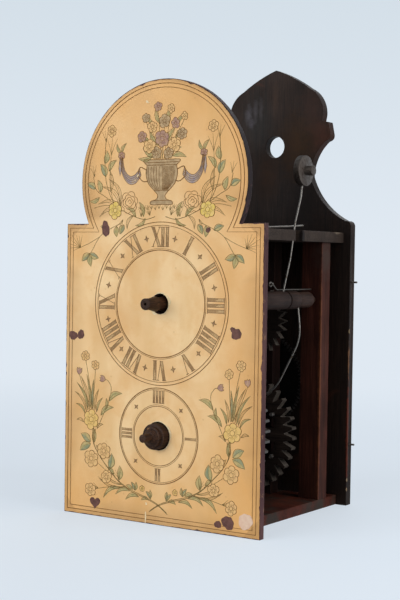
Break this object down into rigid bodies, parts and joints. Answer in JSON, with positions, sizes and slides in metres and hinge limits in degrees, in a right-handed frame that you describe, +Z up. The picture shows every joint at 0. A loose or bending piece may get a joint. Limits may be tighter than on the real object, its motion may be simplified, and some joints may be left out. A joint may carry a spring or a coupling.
{
  "type": "wall clock",
  "caption": "Wooden-wheel wall clock in an open-sided case, with an arched painted dial board, a shaped backboard with a hanging hole, going and striking trains and a wire hammer.",
  "frame": {"origin": "centre of the hanging hole in the backboard, on its back face, which lies on the wall", "axes": "+X to the right of the dial seen from the front, +Y from the dial towards the wall, +Z up"},
  "size_m": [0.18, 0.1883, 0.36],
  "materials": {
    "painted_dial": "printed sheet glued to a softwood board",
    "dark_wood": "old dark stained softwood",
    "post_wood": "reddish brown softwood",
    "gear_wood": "dry beech, darkened",
    "steel_wire": "drawn iron wire"
  },
  "bodies": {
    "case": {"dial_board": "painted_dial", "backboard": "dark_wood", "door_hinge_wires": "steel_wire", "top_board": "dark_wood", "bottom_board": "post_wood", "front_left_post": "post_wood", "front_right_post": "post_wood", "rear_left_post": "post_wood", "rear_right_post": "post_wood", "front_pillar": "post_wood", "middle_pillar": "post_wood", "rear_pillar": "post_wood", "pillar_studs": "steel_wire", "hammer_stop_wire": "steel_wire", "hammer_spring_wire": "steel_wire"},
    "going": {"going_arbor": "gear_wood", "going_great_wheel": "gear_wood", "going_wire_pins": "steel_wire"},
    "going_pulley": {"going_pulley": "gear_wood"},
    "going_click": {"going_click": "gear_wood"},
    "second": {"second_arbor": "gear_wood", "second_pinion_pins": "steel_wire", "second_wheel": "gear_wood"},
    "escape": {"escape_arbor": "gear_wood", "escape_pinion_pins": "steel_wire", "escape_wheel": "gear_wood"},
    "anchor": {"anchor_arbor": "gear_wood", "anchor": "gear_wood", "crutch": "steel_wire"},
    "idler": {"idler_barrel": "gear_wood", "idler_pins": "steel_wire", "idler_wheel": "gear_wood"},
    "hour": {"hour_pipe": "gear_wood", "hour_wheel": "gear_wood"},
    "strike": {"strike_arbor": "gear_wood", "strike_great_wheel": "gear_wood", "strike_wire_pins": "steel_wire"},
    "strike_pulley": {"strike_pulley": "gear_wood"},
    "strike_click": {"strike_click": "gear_wood"},
    "locking": {"locking_arbor": "gear_wood", "locking_pinion_pins": "steel_wire", "locking_wheel": "gear_wood", "locking_cam": "gear_wood"},
    "warning": {"warning_arbor": "gear_wood", "warning_pinion_pins": "steel_wire", "warning_wheel": "gear_wood"},
    "fly": {"fly_arbor": "gear_wood", "fly_pinion_pins": "steel_wire", "fly_vane": "gear_wood"},
    "count": {"count_wheel": "gear_wood", "count_plate": "gear_wood"},
    "hammer": {"hammer_arbor": "gear_wood", "hammer_stem": "steel_wire", "hammer_head": "gear_wood", "hammer_tail": "steel_wire"},
    "lever": {"lever_arbor": "gear_wood", "lever_wires": "steel_wire"}
  },
  "joints": [
    {"name": "going_turn", "type": "hinge", "parent": "case", "child": "going", "pos_m": [-0.0023, 0, -0.22859], "axis": [0, -1, 0], "continuous": true},
    {"name": "going_pulley_turn", "type": "hinge", "parent": "going", "child": "going_pulley", "pos_m": [-0.0023, 0, -0.22859], "axis": [0, -1, 0], "continuous": true},
    {"name": "going_click_lift", "type": "hinge", "parent": "going", "child": "going_click", "pos_m": [-0.0023, 0, -0.20259], "axis": [0, -1, 0], "range_deg": [0, 15]},
    {"name": "second_turn", "type": "hinge", "parent": "case", "child": "second", "pos_m": [-0.0023, 0, -0.16586], "axis": [0, -1, 0], "continuous": true},
    {"name": "escape_turn", "type": "hinge", "parent": "case", "child": "escape", "pos_m": [-0.0023, 0, -0.1269], "axis": [0, -1, 0], "continuous": true},
    {"name": "anchor_swing", "type": "hinge", "parent": "case", "child": "anchor", "pos_m": [-0.0023, 0, -0.0936], "axis": [0, -1, 0], "range_deg": [-4, 4]},
    {"name": "idler_turn", "type": "hinge", "parent": "case", "child": "idler", "pos_m": [-0.0023, 0, -0.18259], "axis": [0, -1, 0], "continuous": true},
    {"name": "hour_turn", "type": "hinge", "parent": "case", "child": "hour", "pos_m": [-0.0023, 0, -0.12959], "axis": [0, -1, 0], "continuous": true},
    {"name": "strike_turn", "type": "hinge", "parent": "case", "child": "strike", "pos_m": [-0.0023, 0, -0.23729], "axis": [0, -1, 0], "continuous": true},
    {"name": "strike_pulley_turn", "type": "hinge", "parent": "strike", "child": "strike_pulley", "pos_m": [-0.0023, 0, -0.23729], "axis": [0, -1, 0], "continuous": true},
    {"name": "strike_click_lift", "type": "hinge", "parent": "strike", "child": "strike_click", "pos_m": [-0.0023, 0, -0.21129], "axis": [0, -1, 0], "range_deg": [0, 15]},
    {"name": "locking_turn", "type": "hinge", "parent": "case", "child": "locking", "pos_m": [-0.00047, 0, -0.18482], "axis": [0, -1, 0], "continuous": true},
    {"name": "warning_turn", "type": "hinge", "parent": "case", "child": "warning", "pos_m": [0.00812, 0, -0.14442], "axis": [0, -1, 0], "continuous": true},
    {"name": "fly_turn", "type": "hinge", "parent": "case", "child": "fly", "pos_m": [-0.0149, 0, -0.12141], "axis": [0, -1, 0], "continuous": true},
    {"name": "count_turn", "type": "hinge", "parent": "case", "child": "count", "pos_m": [-0.0023, 0, -0.19529], "axis": [0, -1, 0], "continuous": true},
    {"name": "hammer_lift", "type": "hinge", "parent": "case", "child": "hammer", "pos_m": [0.0557, 0, -0.12659], "axis": [0, 1, 0], "range_deg": [0, 12]},
    {"name": "lever_lift", "type": "hinge", "parent": "case", "child": "lever", "pos_m": [-0.0603, 0, -0.14559], "axis": [0, -1, 0], "range_deg": [0, 10]}
  ],
  "couplings": [
    {"joint": "second_turn", "follows": "going_turn", "ratio": -7.5},
    {"joint": "escape_turn", "follows": "going_turn", "ratio": 60},
    {"joint": "idler_turn", "follows": "going_turn", "ratio": -0.25},
    {"joint": "hour_turn", "follows": "going_turn", "ratio": 0.083333},
    {"joint": "locking_turn", "follows": "strike_turn", "ratio": -6},
    {"joint": "warning_turn", "follows": "strike_turn", "ratio": 36},
    {"joint": "fly_turn", "follows": "strike_turn", "ratio": -144},
    {"joint": "count_turn", "follows": "strike_turn", "ratio": -0.076923}
  ]
}
